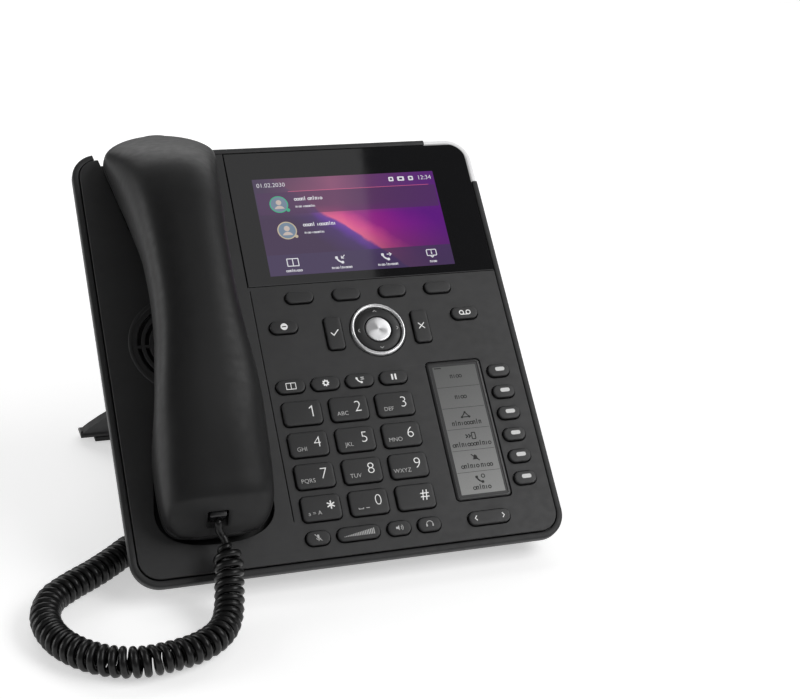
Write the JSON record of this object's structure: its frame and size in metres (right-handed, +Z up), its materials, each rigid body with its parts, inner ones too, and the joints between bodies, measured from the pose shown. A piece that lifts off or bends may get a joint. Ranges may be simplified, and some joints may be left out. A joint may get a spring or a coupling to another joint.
{
  "type": "desk ip phone",
  "caption": "Sloping desk telephone with a colour display, key field, line-key display, corded handset in a left bay, curly cord and a clip-on stand.",
  "frame": {"origin": "centre of the base of the telephone without its cord, on the table", "axes": "+X to the telephone's right, +Y to its back, +Z up"},
  "size_m": [0.2508, 0.2384, 0.1709],
  "materials": {
    "housing": "fine spark-eroded matt charcoal",
    "rear_housing": "matt charcoal, slightly coarser",
    "handset": "satin charcoal",
    "key": "satin charcoal with white legends",
    "display_glass": "gloss black pane",
    "light_guide": "silver-white translucent",
    "colour_display": "lit colour picture",
    "grey_display": "reflective grey",
    "circuit_board": "green solder mask",
    "silicone": "translucent grey",
    "speaker_cone": "black",
    "foot_rubber": "matt black",
    "cord": "satin black jacket",
    "plug": "clear modular plug",
    "chrome_ring": "polished",
    "nav_gloss": "satin-gloss black",
    "ok_metal": "spun, radial highlight"
  },
  "bodies": {
    "base": {"front_cover": "housing", "rear_cover": "rear_housing", "display_window": "display_glass", "status_light_guide": "light_guide", "label_window": "display_glass", "main_lcd_module": "colour_display", "label_lcd_module": "grey_display", "main_board": "circuit_board", "key_mat": "silicone", "loudspeaker": "speaker_cone", "stand": "rear_housing", "stand_foot_pad": "foot_rubber", "front_foot_pad": "foot_rubber", "cord_coil": "cord", "base_lead": "cord", "base_plug": "plug"},
    "handset": {"handset_back_shell": "handset", "handset_front_shell": "handset", "handset_receiver": "speaker_cone", "handset_plug": "plug", "handset_lead": "cord"},
    "hook": {"hook_switch": "key"},
    "nav_ring": {"nav_chrome_ring": "chrome_ring"},
    "nav_disc": {"nav_key": "nav_gloss"},
    "volume_rocker": {"volume_rocker": "key"},
    "page_rocker": {"page_rocker": "key"},
    "softkey_1": {"softkey_1": "key"},
    "softkey_2": {"softkey_2": "key"},
    "softkey_3": {"softkey_3": "key"},
    "softkey_4": {"softkey_4": "key"},
    "confirm_key": {"confirm_key": "key"},
    "cancel_key": {"cancel_key": "key"},
    "do_not_disturb_key": {"do_not_disturb_key": "key"},
    "message_key": {"message_key": "key"},
    "directory_key": {"directory_key": "key"},
    "settings_key": {"settings_key": "key"},
    "transfer_key": {"transfer_key": "key"},
    "hold_key": {"hold_key": "key"},
    "key_1": {"key_1": "key"},
    "key_2": {"key_2": "key"},
    "key_3": {"key_3": "key"},
    "key_4": {"key_4": "key"},
    "key_5": {"key_5": "key"},
    "key_6": {"key_6": "key"},
    "key_7": {"key_7": "key"},
    "key_8": {"key_8": "key"},
    "key_9": {"key_9": "key"},
    "key_star": {"key_star": "key"},
    "key_0": {"key_0": "key"},
    "key_hash": {"key_hash": "key"},
    "mute_key": {"mute_key": "key"},
    "speaker_key": {"speaker_key": "key"},
    "headset_key": {"headset_key": "key"},
    "line_key_1": {"line_key_1": "key"},
    "line_key_2": {"line_key_2": "key"},
    "line_key_3": {"line_key_3": "key"},
    "line_key_4": {"line_key_4": "key"},
    "line_key_5": {"line_key_5": "key"},
    "line_key_6": {"line_key_6": "key"},
    "ok_key": {"ok_key": "ok_metal"}
  },
  "joints": [
    {"name": "handset_lift", "type": "slide", "parent": "base", "child": "handset", "axis": [0, -0.682, 0.7314], "range_m": [0, 0.07]},
    {"name": "hook_rise", "type": "slide", "parent": "base", "child": "hook", "axis": [0, -0.682, 0.7314], "range_m": [0, 0.0031]},
    {"name": "nav_up_down", "type": "hinge", "parent": "base", "child": "nav_ring", "pos_m": [0.03165, -0.00719, 0.08615], "axis": [1, 0, 0], "range_deg": [-2.5, 2.5], "stiffness_Nm_per_rad": 0.3},
    {"name": "nav_left_right", "type": "hinge", "parent": "nav_ring", "child": "nav_disc", "pos_m": [0.03165, -0.00719, 0.08615], "axis": [0, 0.7314, 0.682], "range_deg": [-2.5, 2.5], "stiffness_Nm_per_rad": 0.3},
    {"name": "volume_rock", "type": "hinge", "parent": "base", "child": "volume_rocker", "pos_m": [0.00125, -0.08047, 0.01782], "axis": [0, 0.7314, 0.682], "range_deg": [-3, 3], "stiffness_Nm_per_rad": 0.15},
    {"name": "page_rock", "type": "hinge", "parent": "base", "child": "page_rocker", "pos_m": [0.06515, -0.08047, 0.01782], "axis": [0, 0.7314, 0.682], "range_deg": [-3, 3], "stiffness_Nm_per_rad": 0.15},
    {"name": "ok_key_press", "type": "slide", "parent": "base", "child": "ok_key", "axis": [0, 0.682, -0.7314], "range_m": [0, 0.001], "stiffness_N_per_m": 300},
    {"name": "key_5_press", "type": "slide", "parent": "base", "child": "key_5", "axis": [0, 0.682, -0.7314], "range_m": [0, 0.001], "stiffness_N_per_m": 300},
    {"name": "softkey_1_press", "type": "slide", "parent": "base", "child": "softkey_1", "axis": [0, 0.682, -0.7314], "range_m": [0, 0.001], "stiffness_N_per_m": 300},
    {"name": "confirm_key_press", "type": "slide", "parent": "base", "child": "confirm_key", "axis": [0, 0.682, -0.7314], "range_m": [0, 0.001], "stiffness_N_per_m": 300},
    {"name": "line_key_1_press", "type": "slide", "parent": "base", "child": "line_key_1", "axis": [0, 0.682, -0.7314], "range_m": [0, 0.001], "stiffness_N_per_m": 300},
    {"name": "do_not_disturb_key_press", "type": "slide", "parent": "base", "child": "do_not_disturb_key", "axis": [0, 0.682, -0.7314], "range_m": [0, 0.001], "stiffness_N_per_m": 300},
    {"name": "message_key_press", "type": "slide", "parent": "base", "child": "message_key", "axis": [0, 0.682, -0.7314], "range_m": [0, 0.001], "stiffness_N_per_m": 300},
    {"name": "cancel_key_press", "type": "slide", "parent": "base", "child": "cancel_key", "axis": [0, 0.682, -0.7314], "range_m": [0, 0.001], "stiffness_N_per_m": 300},
    {"name": "directory_key_press", "type": "slide", "parent": "base", "child": "directory_key", "axis": [0, 0.682, -0.7314], "range_m": [0, 0.001], "stiffness_N_per_m": 300},
    {"name": "mute_key_press", "type": "slide", "parent": "base", "child": "mute_key", "axis": [0, 0.682, -0.7314], "range_m": [0, 0.001], "stiffness_N_per_m": 300},
    {"name": "softkey_2_press", "type": "slide", "parent": "base", "child": "softkey_2", "axis": [0, 0.682, -0.7314], "range_m": [0, 0.001], "stiffness_N_per_m": 300},
    {"name": "softkey_3_press", "type": "slide", "parent": "base", "child": "softkey_3", "axis": [0, 0.682, -0.7314], "range_m": [0, 0.001], "stiffness_N_per_m": 300},
    {"name": "softkey_4_press", "type": "slide", "parent": "base", "child": "softkey_4", "axis": [0, 0.682, -0.7314], "range_m": [0, 0.001], "stiffness_N_per_m": 300},
    {"name": "settings_key_press", "type": "slide", "parent": "base", "child": "settings_key", "axis": [0, 0.682, -0.7314], "range_m": [0, 0.001], "stiffness_N_per_m": 300},
    {"name": "transfer_key_press", "type": "slide", "parent": "base", "child": "transfer_key", "axis": [0, 0.682, -0.7314], "range_m": [0, 0.001], "stiffness_N_per_m": 300},
    {"name": "hold_key_press", "type": "slide", "parent": "base", "child": "hold_key", "axis": [0, 0.682, -0.7314], "range_m": [0, 0.001], "stiffness_N_per_m": 300},
    {"name": "key_1_press", "type": "slide", "parent": "base", "child": "key_1", "axis": [0, 0.682, -0.7314], "range_m": [0, 0.001], "stiffness_N_per_m": 300},
    {"name": "key_2_press", "type": "slide", "parent": "base", "child": "key_2", "axis": [0, 0.682, -0.7314], "range_m": [0, 0.001], "stiffness_N_per_m": 300},
    {"name": "key_3_press", "type": "slide", "parent": "base", "child": "key_3", "axis": [0, 0.682, -0.7314], "range_m": [0, 0.001], "stiffness_N_per_m": 300},
    {"name": "key_4_press", "type": "slide", "parent": "base", "child": "key_4", "axis": [0, 0.682, -0.7314], "range_m": [0, 0.001], "stiffness_N_per_m": 300},
    {"name": "key_6_press", "type": "slide", "parent": "base", "child": "key_6", "axis": [0, 0.682, -0.7314], "range_m": [0, 0.001], "stiffness_N_per_m": 300},
    {"name": "key_7_press", "type": "slide", "parent": "base", "child": "key_7", "axis": [0, 0.682, -0.7314], "range_m": [0, 0.001], "stiffness_N_per_m": 300},
    {"name": "key_8_press", "type": "slide", "parent": "base", "child": "key_8", "axis": [0, 0.682, -0.7314], "range_m": [0, 0.001], "stiffness_N_per_m": 300},
    {"name": "key_9_press", "type": "slide", "parent": "base", "child": "key_9", "axis": [0, 0.682, -0.7314], "range_m": [0, 0.001], "stiffness_N_per_m": 300},
    {"name": "key_star_press", "type": "slide", "parent": "base", "child": "key_star", "axis": [0, 0.682, -0.7314], "range_m": [0, 0.001], "stiffness_N_per_m": 300},
    {"name": "key_0_press", "type": "slide", "parent": "base", "child": "key_0", "axis": [0, 0.682, -0.7314], "range_m": [0, 0.001], "stiffness_N_per_m": 300},
    {"name": "key_hash_press", "type": "slide", "parent": "base", "child": "key_hash", "axis": [0, 0.682, -0.7314], "range_m": [0, 0.001], "stiffness_N_per_m": 300},
    {"name": "speaker_key_press", "type": "slide", "parent": "base", "child": "speaker_key", "axis": [0, 0.682, -0.7314], "range_m": [0, 0.001], "stiffness_N_per_m": 300},
    {"name": "headset_key_press", "type": "slide", "parent": "base", "child": "headset_key", "axis": [0, 0.682, -0.7314], "range_m": [0, 0.001], "stiffness_N_per_m": 300},
    {"name": "line_key_2_press", "type": "slide", "parent": "base", "child": "line_key_2", "axis": [0, 0.682, -0.7314], "range_m": [0, 0.001], "stiffness_N_per_m": 300},
    {"name": "line_key_3_press", "type": "slide", "parent": "base", "child": "line_key_3", "axis": [0, 0.682, -0.7314], "range_m": [0, 0.001], "stiffness_N_per_m": 300},
    {"name": "line_key_4_press", "type": "slide", "parent": "base", "child": "line_key_4", "axis": [0, 0.682, -0.7314], "range_m": [0, 0.001], "stiffness_N_per_m": 300},
    {"name": "line_key_5_press", "type": "slide", "parent": "base", "child": "line_key_5", "axis": [0, 0.682, -0.7314], "range_m": [0, 0.001], "stiffness_N_per_m": 300},
    {"name": "line_key_6_press", "type": "slide", "parent": "base", "child": "line_key_6", "axis": [0, 0.682, -0.7314], "range_m": [0, 0.001], "stiffness_N_per_m": 300}
  ],
  "couplings": [
    {"joint": "hook_rise", "follows": "handset_lift", "ratio": 0.043}
  ]
}
